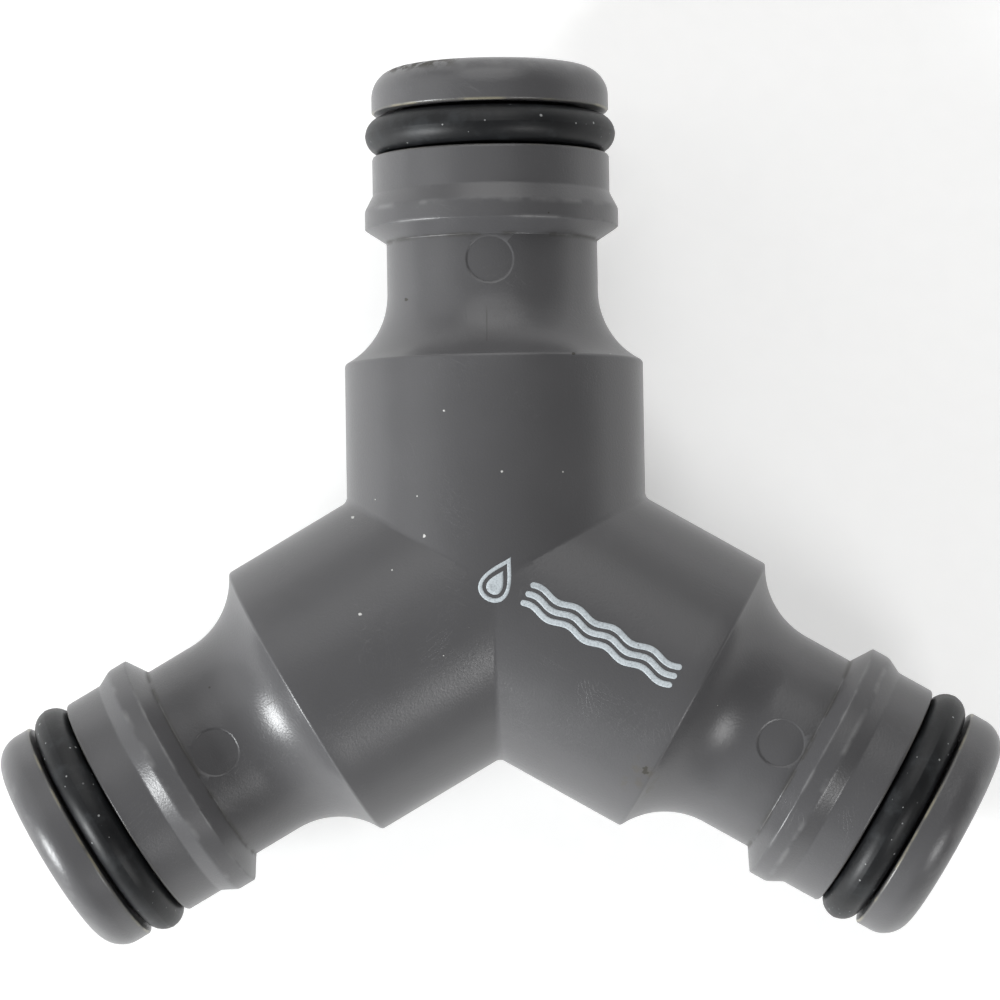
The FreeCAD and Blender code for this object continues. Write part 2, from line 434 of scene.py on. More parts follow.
    def valley(self, angle: np.ndarray, share: np.ndarray) -> tuple[np.ndarray, np.ndarray]:
        """Rolling-ball round in the valley between two branches.

        A ball of the valley's radius rolls on both cylinders with its centre in the plane between them, at
        hub radius + ball radius from either axis. The surface is the centre less the ball radius along a
        direction that turns evenly from that plane (share 0) to the cylinder's own normal (share 1).

        Args:
            angle: Angle round the arm of each column.
            share: Place across the round of each row.

        Returns:
            The points as (across, along, up), and the outward directions.
        """
        cosine, sine = np.cos(angle), np.sin(angle)
        reach = self.hub_radius + self.valley_round
        centre = np.stack([reach * cosine, reach * np.abs(cosine) / SQRT3, reach * sine], axis=-1)
        own = np.stack([cosine, np.zeros_like(cosine), sine], axis=-1)
        middle = np.stack([1.5 * cosine, SQRT3 / 2.0 * np.abs(cosine), 2.0 * sine], axis=-1)
        middle /= np.linalg.norm(middle, axis=-1, keepdims=True)
        between = np.arccos(np.clip(np.sum(own * middle, axis=-1), -1.0, 1.0 - 1e-12))
        weight = share[:, None]
        towards_own = np.sin(weight * between) / np.sin(between)
        towards_middle = np.sin((1.0 - weight) * between) / np.sin(between)
        direction = towards_middle[..., None] * middle + towards_own[..., None] * own
        return centre - self.valley_round * direction, direction

    def crown(self, across: np.ndarray, along: np.ndarray) -> np.ndarray:
        """Height of the hub above an arm's own third of the plan, close to the middle.

        The height is that of the arm's cylinder, sqrt(R^2 - across^2), joined to its neighbour's by a
        smooth maximum whose width k gives the valley's round: with c the sine of the crease's place,
        k = 2 r * 1.5 c^2 / (2 - 1.5 c^2), and the join adds (k - difference)^2 / 4k.

        Args:
            across: Distance across the arm.
            along: Distance along the arm.

        Returns:
            Height above the plane of the axes.
        """
        side = np.abs(across)
        own = np.sqrt(np.maximum(self.hub_radius**2 - side**2, 0.0))
        beside = 0.5 * side + SQRT3 / 2.0 * along
        other = np.sqrt(np.maximum(self.hub_radius**2 - beside**2, 0.0))
        crease = (SQRT3 / 2.0 * np.hypot(side, along) / self.hub_radius) ** 2 * 1.5
        width = 2.0 * self.valley_round * crease / (2.0 - np.minimum(crease, 1.5))
        width = np.maximum(width, NOTHING)
        overlap = np.maximum(width - np.abs(own - other), 0.0)
        return np.maximum(own, other) + overlap**2 / (4.0 * width)

    def surface_height(self, points: np.ndarray) -> np.ndarray:
        """Height of the hub's upper surface above any point of its plan.

        Args:
            points: Plan points as (x, y), on the last axis.

        Returns:
            Heights, in millimetres.
        """
        along = np.stack([points @ arm.outward[:2] for arm in Arm])
        across = np.stack([points @ arm.across[:2] for arm in Arm])
        own = np.argmax(along, axis=0)[None]
        along = np.take_along_axis(along, own, axis=0)[0]
        across = np.take_along_axis(across, own, axis=0)[0]
        return self.crown(across, along)

    # ------------------------------------------------------------ grids

    def arm_grid(self, angle: np.ndarray) -> tuple[np.ndarray, float]:
        """Grid of one arm in its own frame, from the hub's crease out, round the nose and back inside.

        Args:
            angle: Angles of the columns.

        Returns:
            The grid, rows by columns by 3, and the radius of the cap's ring round the middle.
        """
        outline = self.outline()
        cosine, sine = np.cos(angle), np.sin(angle)
        # the cap's ring runs through the first columns that start on the crease
        edge = self.mark_lines()[-1] / self.neck_radius
        on_crease = np.abs(cosine) > edge - CLOSE
        first = np.argmin(np.where(on_crease, np.abs(cosine), np.inf))
        share = np.linspace(0.0, 1.0, self.valley_steps + 1)
        start, direction = self.valley(np.where(on_crease, angle, 0.0), share)
        ring_start, _ = self.valley(angle[first : first + 1], np.array([0.0, 1.0]))
        ring_radius = float(np.hypot(ring_start[0, 0, 0], ring_start[0, 0, 1]))
        blend = float(ring_start[1, 0, 1] - ring_start[0, 0, 1])
        # rows across the valley's round
        along = np.sqrt(np.maximum(ring_radius**2 - (self.hub_radius * cosine) ** 2, 0.0))
        along = along[None] + share[:, None] * blend
        across = np.broadcast_to(self.hub_radius * cosine, along.shape)
        polar = np.stack([across, along, np.sign(sine) * self.crown(across, along)], axis=-1)
        rounds = np.where(on_crease[None, :, None], start, polar)
        # rows along the hub
        hub_end = outline[0, 1]
        steps = np.linspace(0.0, 1.0, self.hub_rows + 1)[1:-1, None]
        along = rounds[-1, :, 1][None] * (1.0 - steps) + hub_end * steps
        across = np.broadcast_to(self.hub_radius * cosine, along.shape)
        near = np.hypot(across, along) < ring_radius + self.crown_reach
        crowned = np.sign(sine) * self.crown(across, along)
        up = np.where(near & ~on_crease[None], crowned, self.hub_radius * sine)
        hub = np.stack([across, along, np.broadcast_to(up, along.shape)], axis=-1)
        # rows of the turned outline
        turned = np.stack(
            [
                outline[:, :1] * cosine,
                np.broadcast_to(outline[:, 1:], (len(outline), len(angle))),
                outline[:, :1] * sine,
            ],
            axis=-1,
        )
        # rows back along the waterway to its own crease
        steps = np.linspace(0.0, 1.0, self.bore_rows + 1)[1:, None]
        inner = self.bore_radius * np.abs(cosine) / SQRT3
        along = outline[-1, 1] * (1.0 - steps) + inner * steps
        bore = np.stack(
            [
                np.broadcast_to(self.bore_radius * cosine, along.shape),
                along,
                np.broadcast_to(self.bore_radius * sine, along.shape),
            ],
            axis=-1,
        )
        grid = np.concatenate([rounds, hub, turned, bore])
        self.raise_seam(grid, angle, direction, len(grid) - self.bore_rows)
        self.press_mark(grid)
        return grid, ring_radius

    def raise_seam(self, grid: np.ndarray, angle: np.ndarray, valley: np.ndarray, rows: int) -> None:
        """Raise the mould's seam, one column on each side of the arm, by the seam's height.

        Args:
            grid: The arm's grid, changed in place.
            angle: Angles of its columns.
            valley: Outward directions of the rows across the valley's round.
            rows: Number of rows outside the waterway.
        """
        for column in np.flatnonzero(np.abs(np.sin(angle)) < NOTHING):
            outward = np.zeros((rows, 3))
            outward[:, 0] = np.sign(np.cos(angle[column]))
            outward[: len(valley)] = valley[:, column]
            grid[:rows, column] += outward * self.seam_height

    def press_mark(self, grid: np.ndarray) -> None:
        """Press the ejector pin's round mark into the neck's crest.

        Squares of grid lines round the mark's centre are drawn in to circles: a point at the larger of its
        two distances, d, moves along its own direction to the radius d. Past the mark's edge this fades
        out. Inside the mark the surface lies lower by the mark's depth, and its last strip is the wall.

        Args:
            grid: The arm's grid, changed in place.
        """
        across, along, up = grid[..., 0], grid[..., 1] - self.mark_along, grid[..., 2]
        slack = 2e-3  # the seam's columns and rounding move points by less
        zone = (np.abs(np.hypot(across, up) - self.neck_radius) < slack) & (up > 0.0)
        zone &= (along > -self.mark_zone) & (along <= self.mark_radius + CLOSE)
        zone &= np.abs(across) < self.mark_zone
        reach = np.maximum(np.abs(across), np.abs(along))
        radius = np.maximum(np.hypot(across, along), NOTHING)
        pull = smooth_step(reach, self.mark_radius + self.mark_fade, self.mark_radius) * zone
        scale = 1.0 + pull * (reach / radius - 1.0)
        across, along = across * scale, along * scale
        radius = np.hypot(across, along)
        surface = np.sqrt(np.maximum(self.neck_radius**2 - across**2, 0.0))
        wall_top = self.mark_radius - 1e-3  # just inside the mark's last ring of points
        wall = smooth_step(radius, self.mark_radius - self.mark_wall, wall_top)
        pressed = surface - self.mark_depth * (1.0 - wall)
        grid[..., 0] = np.where(zone, across, grid[..., 0])
        grid[..., 1] = np.where(zone, along + self.mark_along, grid[..., 1])
        grid[..., 2] = np.where(zone, pressed, grid[..., 2])

    def cap_grid(self, angle: np.ndarray, upper: bool) -> np.ndarray:
        """Round patch over the middle of the hub, above or below.

        Its outer ring is the first row of the three arms' grids, and its inner rings are the same ring
        shrunk in plan, each laid on the hub's height. Below, the gate's recess and stub are let in.

        Args:
            angle: Angles of the arms' columns.
            upper: Whether it is the cap on the face with the ejector marks.

        Returns:
            The grid, from the outer ring to the middle.
        """
        grid, ring_radius = self.arm_grid(angle)
        sine = np.sin(angle)
        inside = np.hypot(grid[0, :, 0], grid[0, :, 1]) < ring_radius + CLOSE
        inside &= (sine > 0) == upper
        row = grid[0, inside]
        row = row[np.argsort(-row[:, 0])]
        ring = np.concatenate([arm.place(row[:-1]) for arm in Arm])
        wall, dimple, gate = self.dimple_wall, self.dimple_radius, self.gate_radius
        gate_rings = [gate * 0.5, gate - wall, gate, 1.0, 1.35]
        dimple_rings = [dimple - 2.0 * wall, dimple - wall, dimple, dimple + wall, 2.1]
        radii = np.array([0.0, *gate_rings, *dimple_rings, ring_radius])[::-1]
        plan = ring[None, :, :2] * (radii / ring_radius)[:, None, None]
        height = self.surface_height(plan)
        if not upper:
            floor = self.hub_radius - self.dimple_depth
            reach = np.hypot(plan[..., 0], plan[..., 1])
            rim = smooth_step(reach, dimple - wall, dimple)
            height = height * rim + floor * (1.0 - rim)
            stub = smooth_step(reach, gate, gate - wall)
            height += stub * self.gate_height
            height = -height
        cap = np.concatenate([plan, height[..., None]], axis=-1)
        cap[0] = ring
        return cap

    def build(self) -> bpy.types.Object:
        """Make the moulding's mesh in place of the CAD body.

        Returns:
            The moulding, riding on the root.
        """
        angle = self.angles()
        grid, _ = self.arm_grid(angle)
        builder = SurfaceBuilder()
        for arm in Arm:
            builder.add_grid(arm.place(grid))
        builder.add_grid(self.cap_grid(angle, upper=True))
        builder.add_grid(self.cap_grid(angle, upper=False))
        piece = builder.finish(self.name)
        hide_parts(BODY_NODE)
        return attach(piece, ROOT)


# ---------------------------------------------------------------- the seals


@dataclass
class SealRing:
    """An O-ring in its groove. Sizes are in millimetres and come from its CAD node."""

    arm: Arm
    around: int = 168
    section: int = 40
    crowding: float = 0.38
    flash: float = 0.018
    flash_width: float = 0.07

    @property
    def node(self) -> str:
        """The CAD node that this ring stands for."""
        return f"{self.arm.label}_o_ring"

    def build(self) -> bpy.types.Object:
        """Make the ring in place of its CAD node.

        A point is the ring's radius along the arm's own circle plus the cord's radius round the cord. The
        mould's flash adds a narrow bell, flash * exp(-(sin(angle) / width)^2), on the outer and inner
        equators. The sizes are read on the inlet's ring, whose axis is Y.

        Returns:
            The ring, riding on the root.
        """
        low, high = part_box(f"{Arm.INLET.label}_o_ring")
        cord = (high[1] - low[1]) / 2.0 / MM
        middle = (high[1] + low[1]) / 2.0 / MM
        ring = high[2] / MM - cord
        turn = np.arange(self.around)[:, None] * 2.0 * np.pi / self.around
        share = np.arange(self.section)[None, :] / self.section
        # the section's angles crowd together at the two equators, where the flash is
        angle = 2.0 * np.pi * share - self.crowding * np.sin(4.0 * np.pi * share)
        radius = cord + self.flash * np.exp(-((np.sin(angle) / self.flash_width) ** 2))
        reach = ring + radius * np.cos(angle)
        along = np.broadcast_to(middle + radius * np.sin(angle), (self.around, self.section))
        grid = np.stack([reach * np.cos(turn), along, reach * np.sin(turn)], axis=-1)
        closed = np.concatenate([grid, grid[:1]])
        builder = SurfaceBuilder()
        builder.add_grid(self.arm.place(closed))
        piece = builder.finish(f"{self.arm.label}_seal_ring")
        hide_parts(self.node)
        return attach(piece, ROOT)


# ---------------------------------------------------------------- the print


@dataclass
class WaterSign:
    """A generic printed water sign, a drop and three ripples, on the hub and one branch.

    It is laid out flat, in millimetres, with its first axis along the branch, and then laid on the hub.
    """

    moulding: Moulding
    arm: Arm = Arm.RIGHT_OUTLET
    ink: float = 0.008
    sunk: float = 0.03
    drop_height: float = 1.62
    drop_width: float = 1.42
    drop_along: float = 0.12
    drop_taper: float = 1.4
    rim_inside: tuple[float, float] = (0.76, 0.1)
    core_inside: tuple[float, float] = (0.52, 0.26)
    rise: float = 0.44
    first: float = 2.1
    last: float = 13.3
    pitch: float = 0.66
    stroke: float = 0.4
    wavelength: float = 2.75
    sway: float = 0.15
    end_rows: int = 8
    body_rows: int = 150
    name: str = "water_sign"

    def lay(self, flat: np.ndarray, lift: np.ndarray) -> np.ndarray:
        """Lay points of the flat sign on the hub.

        Args:
            flat: Points as (along the branch, up the sign), on the last axis.
            lift: Height above the plastic.

        Returns:
            Points as (x, y, z).
        """
        plan = flat[..., :1] * self.arm.outward[:2] - (flat[..., 1:] + self.rise) * self.arm.across[:2]
        height = self.moulding.surface_height(plan) + lift
        return np.concatenate([plan, height[..., None]], axis=-1)

    def drop_line(self, scale: float, lower: float, points: int = 72) -> np.ndarray:
        """Outline of a drop: up is cos(t), aside is sin(t) * sin(t / 2) ^ taper, for t once round.

        Args:
            scale: Size against the full drop.
            lower: Distance by which it sits lower.
            points: Number of points.

        Returns:
            Flat points.
        """
        turn = np.arange(points) * 2.0 * np.pi / points
        aside = np.sin(turn) * np.sin(turn / 2.0) ** self.drop_taper * self.drop_width
        up = np.cos(turn) * self.drop_height * scale - lower
        return np.stack([aside * scale + self.drop_along, up], axis=-1)

    def drop_rim(self) -> np.ndarray:
        """Closed ribbon between two drops of different sizes.

        Returns:
            The ribbon's grid.
        """
        outer, inner = self.drop_line(1.0, 0.0), self.drop_line(*self.rim_inside)
        share = np.array([0.0, 0.0, 0.35, 0.65, 1.0, 1.0, 0.5])[:, None, None]
        lift = np.array([-self.sunk, self.ink, self.ink, self.ink, self.ink, -self.sunk, -self.sunk])
        flat = outer[None] * (1.0 - share) + inner[None] * share
        grid = self.lay(flat, np.broadcast_to(lift[:, None], flat.shape[:2]))
        return np.concatenate([grid, grid[:1]])

    def drop_core(self) -> np.ndarray:
        """Closed disc with the drop's outline, for its middle.

        Returns:
            The disc's grid.
        """
        share = np.array([0.0, 0.35, 0.7, 1.0, 1.0, 0.5, 0.0])[:, None, None]
        lift = np.array([self.ink] * 4 + [-self.sunk] * 3)
        edge = self.drop_line(*self.core_inside)
        middle = edge.mean(axis=0)
        flat = middle + (edge - middle)[None] * share
        return self.lay(flat, np.broadcast_to(lift[:, None], flat.shape[:2]))

    def ripple(self, rise: float) -> np.ndarray:
        """Closed ribbon with round ends along a sine.

        Its middle is rise + sway * sin(2 pi * along / wavelength) and its half width falls to nothing at
        the ends along a half circle.

        Args:
            rise: Height of the ripple's middle line up the sign.

        Returns:
            The ribbon's grid.
        """
        half = self.stroke / 2.0
        ends = half * (1.0 - np.cos(np.linspace(0.0, np.pi / 2.0, self.end_rows)))
        body = np.linspace(self.first + half, self.last - half, self.body_rows)[1:-1]
        along = np.concatenate([self.first + ends, body, self.last - ends[::-1]])
        phase = 2.0 * np.pi * (along - self.first) / self.wavelength
        middle = np.stack([along, rise + self.sway * np.sin(phase)], axis=-1)
        slope = self.sway * 2.0 * np.pi / self.wavelength * np.cos(phase)
        normal = np.stack([-slope, np.ones_like(slope)], axis=-1)
        normal /= np.linalg.norm(normal, axis=-1, keepdims=True)
        near = np.minimum(np.minimum(along - self.first, self.last - along), half)
        width = np.sqrt(np.maximum(half**2 - (half - near) ** 2, 0.0))
        side = np.array([-1.0, -0.5, 0.0, 0.5, 1.0, 1.0, 0.0, -1.0])
        lift = np.array([self.ink] * 5 + [-self.sunk] * 3)
        flat = middle[:, None] + normal[:, None] * (width[:, None] * side)[..., None]
        lifts = lift[None] * (width > CLOSE)[:, None]
        return self.lay(flat, lifts)

    def build(self) -> bpy.types.Object:
        """Make the print as one piece.

        Returns:
            The print, riding on the root.
        """
        builder = SurfaceBuilder()
        builder.add_grid(self.drop_rim())
        builder.add_grid(self.drop_core())
        for step in (-1.0, 0.0, 1.0):
            builder.add_grid(self.ripple(step * self.pitch))
        piece = builder.finish(self.name, weld=1e-4)
        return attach(piece, ROOT)


# ---------------------------------------------------------------- shaders


@dataclass(frozen=True)
class Signal:
    """A number that varies over a surface: a socket, with Python's operators."""

    graph: "Graph"
    socket: bpy.types.NodeSocket

    def __add__(self, other: "Signal | float") -> "Signal":
        """Sum."""
        return self.graph.math("ADD", self, other)

    def __sub__(self, other: "Signal | float") -> "Signal":
        """Difference."""
        return self.graph.math("SUBTRACT", self, other)

    def __rsub__(self, other: float) -> "Signal":
        """A number less this."""
        return self.graph.math("SUBTRACT", other, self)

    def __mul__(self, other: "Signal | float") -> "Signal":
        """Product."""
        return self.graph.math("MULTIPLY", self, other)

    __radd__ = __add__
    __rmul__ = __mul__

    def __abs__(self) -> "Signal":
        """Size without the sign."""
        return self.graph.math("ABSOLUTE", self)

    def root(self) -> "Signal":
        """Square root."""
        return self.graph.math("SQRT", self)

    def most(self, other: "Signal | float") -> "Signal":
        """The larger of two."""
        return self.graph.math("MAXIMUM", self, other)

    def rise(self, low: float, high: float) -> "Signal":
        """Go smoothly from 0 at one value to 1 at another.

        Args:
            low: Value that maps to 0.
            high: Value that maps to 1; it may be smaller than low.

        Returns:
            The mapped number.
        """
        settings = {"interpolation_type": "SMOOTHSTEP"}
        if low > high:
            inputs = {"Value": self, "From Min": high, "From Max": low, "To Min": 1.0, "To Max": 0.0}
        else:
            inputs = {"Value": self, "From Min": low, "From Max": high}
        return Signal(self.graph, self.graph.node("ShaderNodeMapRange", settings, inputs).outputs[0])

    def cut(self, kind: "Patches") -> "Signal":
        """Cut patches out of their noise: 1 inside them and 0 outside."""
        return self.rise(kind.low, kind.high)

    def near(self, centre: float, reach: float) -> "Signal":
        """1 at the centre, falling smoothly to 0 at the reach on either side."""
        return abs(self - centre).rise(reach, 0.0)


@dataclass(frozen=True)
class Patches:
    """Soft patches where a fractal noise passes from low to high. The scale is in waves per millimetre."""

    scale: float
    detail: float
    low: float
    high: float
    rough: float = 0.5


@dataclass(frozen=True)
class Specks:
    """Small round spots in a share of the cells of a jittered lattice. Lengths are in millimetres."""

    spacing: float
    size: float
    share: float
    seed: float


@dataclass(frozen=True)
class Hairlines:
    """Fine scratches that run one way.

    The turn is in degrees, the length and pitch are in millimetres, and the cut goes from 0 for many
    scratches to 0.5 for none.
    """

    turn: float
    length: float
    pitch: float
    cut: float


class Graph:
    """A material's node tree, with the coordinates that every finish of the fitting uses."""

    def __init__(self, name: str) -> None:
        """Start a material with one Principled shader and the object's coordinates in millimetres.

        Args:
            name: The material's name.
        """
        self.material = bpy.data.materials.new(name)
        self.material.use_nodes = True
        self.tree = self.material.node_tree
        self.tree.nodes.clear()
        output = self.node("ShaderNodeOutputMaterial")
        self.shader = self.node("ShaderNodeBsdfPrincipled")
        self.tree.links.new(self.shader.outputs[0], output.inputs["Surface"])
        coordinates = self.node("ShaderNodeTexCoord").outputs["Object"]
        self.position = self.vector("SCALE", coordinates, Scale=1.0 / MM)

    def node(
        self,
        kind: str,
        settings: dict[str, Any] | None = None,
        inputs: dict[Any, Any] | None = None,
    ) -> bpy.types.Node:
        """Add a node, set it, and then fill its sockets.

        Args:
            kind: The node's type.
            settings: The node's own properties.
            inputs: Values or links, by the socket's name or number.

        Returns:
            The node.
        """
        made = self.tree.nodes.new(kind)
        for key, value in (settings or {}).items():
            setattr(made, key, value)
        for key, value in (inputs or {}).items():
            self.fill(made.inputs[key], value)
        return made

    def fill(self, socket: bpy.types.NodeSocket, value: Any) -> None:
        """Link a socket, or give it a value.

        Args:
            socket: The socket to fill.
            value: A signal or socket to link, or a plain value.
        """
        if isinstance(value, Signal):
            value = value.socket
        if isinstance(value, bpy.types.NodeSocket):
            self.tree.links.new(value, socket)
        else:
            socket.default_value = value

    def math(self, operation: str, *values: "Signal | float") -> Signal:
        """Apply a Math node to one or two numbers."""
        inputs = dict(enumerate(values))
        return Signal(self, self.node("ShaderNodeMath", {"operation": operation}, inputs).outputs[0])

    def vector(self, operation: str, *values: Any, **named: Any) -> bpy.types.NodeSocket:
        """Apply a Vector Math node and take its vector."""
        inputs: dict[Any, Any] = {**dict(enumerate(values)), **named}
        return self.node("ShaderNodeVectorMath", {"operation": operation}, inputs).outputs["Vector"]

    def measure(self, operation: str, *values: Any) -> Signal:
        """Apply a Vector Math node and take its number."""
        made = self.node("ShaderNodeVectorMath", {"operation": operation}, dict(enumerate(values)))
        return Signal(self, made.outputs["Value"])

    def mix(self, share: "Signal | float", first: Any, second: Any) -> bpy.types.NodeSocket:
        """Mix two colours.

        Args:
            share: How much of the second.
            first: First colour or socket.
            second: Second colour or socket.

        Returns:
            The mixed colour's socket.
        """
        settings = {"data_type": "RGBA", "blend_type": "MIX", "clamp_factor": True}
        # sockets 0, 6 and 7 are the factor and the two colours
        return self.node("ShaderNodeMix", settings, {0: share, 6: first, 7: second}).outputs[2]

    def place(self, turn: float, stretch: Sequence[float]) -> bpy.types.NodeSocket:
        """Coordinates turned about Z and stretched.

        Args:
            turn: Angle in degrees.
            stretch: Factors along the turned axes.

        Returns:
            The new coordinates.
        """
        turned = self.node(
            "ShaderNodeVectorRotate",
            {"rotation_type": "Z_AXIS"},
            {"Vector": self.position, "Angle": math.radians(turn)},
        ).outputs[0]
        return self.vector("MULTIPLY", turned, tuple(stretch))

    def noise(self, scale: float, detail: float = 2.0, at: Any = None, rough: float = 0.5) -> Signal:
        """Fractal noise from about 0.3 to 0.7.

        Args:
            scale: Waves per millimetre.
            detail: Octaves beyond the first.
            at: Other coordinates.
            rough: Strength of each octave against the one before.

        Returns:
            The noise.
        """
        where = self.position if at is None else at
        inputs = {"Vector": where, "Scale": scale, "Detail": detail, "Roughness": rough}
        return Signal(self, self.node("ShaderNodeTexNoise", None, inputs).outputs[0])

    def uncut(self, kind: Patches) -> Signal:
        """The noise that patches are cut from."""
        return self.noise(kind.scale, kind.detail, rough=kind.rough)

    def patches(self, kind: Patches) -> Signal:
        """1 inside the patches and 0 outside."""
        return self.uncut(kind).cut(kind)

    def specks(self, kind: Specks) -> Signal:
        """Scatter small round spots, each 0.4 to 1 times the largest size.

        A cell holds a spot where the first number that it draws is in the top share. The second number
        gives the spot its size.

        Args:
            kind: The lattice and the spots.

        Returns:
            1 in a spot and 0 outside.
        """
        moved = self.vector("ADD", self.position, (kind.seed, -0.37 * kind.seed, 0.61 * kind.seed))
        lattice = {"Vector": moved, "Scale": 1.0 / kind.spacing}
        cells = self.node("ShaderNodeTexVoronoi", {"feature": "F1"}, lattice)
        drawn = self.node("ShaderNodeSeparateColor", None, {0: cells.outputs["Color"]})
        chosen = Signal(self, drawn.outputs[0]).rise(1.0 - kind.share, 1.0 - 0.98 * kind.share)
        grown = Signal(self, drawn.outputs[1]) * 0.6 + 0.4
        edge = Signal(self, cells.outputs["Distance"]) * (kind.spacing / kind.size)
        return (grown - edge).rise(0.0, 0.12) * chosen

    def hairlines(self, kind: Hairlines) -> Signal:
        """Scratch the surface with the ridges of a noise that is drawn out along them, kept in patches.

        Args:
            kind: The scratches' direction, length, pitch and cut.

        Returns:
            1 on a scratch.
        """
        drawn = self.place(kind.turn, (1.0 / kind.length, 1.0 / kind.pitch, 1.0 / kind.pitch))
        ridge = abs(self.noise(1.0, 0.0, drawn) - 0.5).rise(0.012, 0.0)
        # each direction has patches of a slightly different size
        patch_scale = 0.21 + 0.013 * kind.turn / 30.0
        return ridge * self.patches(Patches(patch_scale, 1.0, 0.5 + kind.cut, 0.58 + kind.cut))

    def bump(self, height: Signal, distance: float) -> None:
        """Feed a height to the shader's normal.

        Args:
            height: Height, as a number that varies over the surface.
            distance: What 1 means, in millimetres.
        """
        inputs = {"Height": height, "Distance": distance * MM, "Strength": 1.0}
        self.set("Normal", self.node("ShaderNodeBump", None, inputs).outputs[0])

    def set(self, socket: str, value: Any) -> None:
        """Fill one of the shader's sockets."""
        self.fill(self.shader.inputs[socket], value)


Colour = tuple[float, float, float, float]


def tint(red: float, green: float, blue: float) -> Colour:
    """A linear colour with full alpha."""
    return (red, green, blue, 1.0)


def dimmed(colour: Colour, share: float) -> Colour:
    """The same colour with its three lights scaled."""
    return tint(*(light * share for light in colour[:3]))


@dataclass(frozen=True)
class Spot:
    """A small mark on the upper face of a branch: its place across and along it, and its radius."""

    arm: Arm
    across: float
    along: float
    radius: float


@dataclass(frozen=True)
class KnitLine:
    """A fine line on the crest of a branch: its place across it, and where along it starts and ends."""

    arm: Arm
    across: float
    start: float
    end: float
    half_width: float = 0.06


@dataclass(frozen=True)
class ArmChart:
    """Where a point lies on the fitting, for the shaders: along and round its own branch."""

    along: Signal
    radial: Signal

    @staticmethod
    def of(graph: Graph) -> "ArmChart":
        """Work the chart out: along is the largest of the three axes' dot products.

        Args:
            graph: The material's nodes.

        Returns:
            The chart.
        """
        dots = [graph.measure("DOT_PRODUCT", graph.position, tuple(arm.outward)) for arm in Arm]
        along = dots[0].most(dots[1]).most(dots[2])
        square = graph.measure("DOT_PRODUCT", graph.position, graph.position)
        return ArmChart(along, (square - along * along).most(0.0).root())

    def ring(self, along: float, radius: float, reach: float) -> Signal:
        """Narrow band round a circular edge."""
        return self.along.near(along, reach) * self.radial.near(radius, reach)

    def upper(self) -> Signal:
        """1 on the face with the ejector marks and 0 on the other."""
        return self.towards(np.array([0.0, 0.0, 1.0])).rise(-0.2, 0.2)

    def towards(self, way: np.ndarray) -> Signal:
        """Distance along a direction."""
        graph = self.along.graph
        return graph.measure("DOT_PRODUCT", graph.position, tuple(way))

    def spot(self, mark: Spot, ragged: Signal) -> Signal:
        """Find a spot of the upper face, with a soft and ragged edge.

        Args:
            mark: The spot.
            ragged: Noise that moves the edge in and out.

        Returns:
            1 in the spot.
        """
        graph = self.along.graph
        place = mark.arm.place(np.array([mark.across, mark.along, 0.0]))
        flat = graph.vector("MULTIPLY", graph.position, (1.0, 1.0, 0.0))
        reach = graph.measure("DISTANCE", flat, tuple(place)) + (ragged - 0.5) * (2.4 * mark.radius)
        return reach.rise(mark.radius, mark.radius * 0.6) * self.upper()

    def rim(self, arm: Arm, end: float, left: float, right: float) -> Signal:
        """Find part of the rim of a branch's end.

        Args:
            arm: The branch.
            end: Where the branch ends, along it.
            left: Where the part begins, across the branch.
            right: Where the part ends, across the branch.

        Returns:
            1 on that part of the rim.
        """
        aside, out = self.towards(arm.across), self.towards(arm.outward)
        band = aside.rise(left, left + 0.8) * aside.rise(right, right - 1.6)
        return out.rise(end - 0.85, end - 0.3) * band

    def knit_line(self, line: KnitLine) -> Signal:
        """Draw the fine line where two fronts of molten plastic met.

        Args:
            line: The line's place.

        Returns:
            1 on the line.
        """
        aside, out = self.towards(line.arm.across), self.towards(line.arm.outward)
        length = out.rise(line.end, line.end - 0.9) * out.rise(line.start, line.start + 0.15)
        return aside.near(line.across, line.half_width) * length * self.upper()


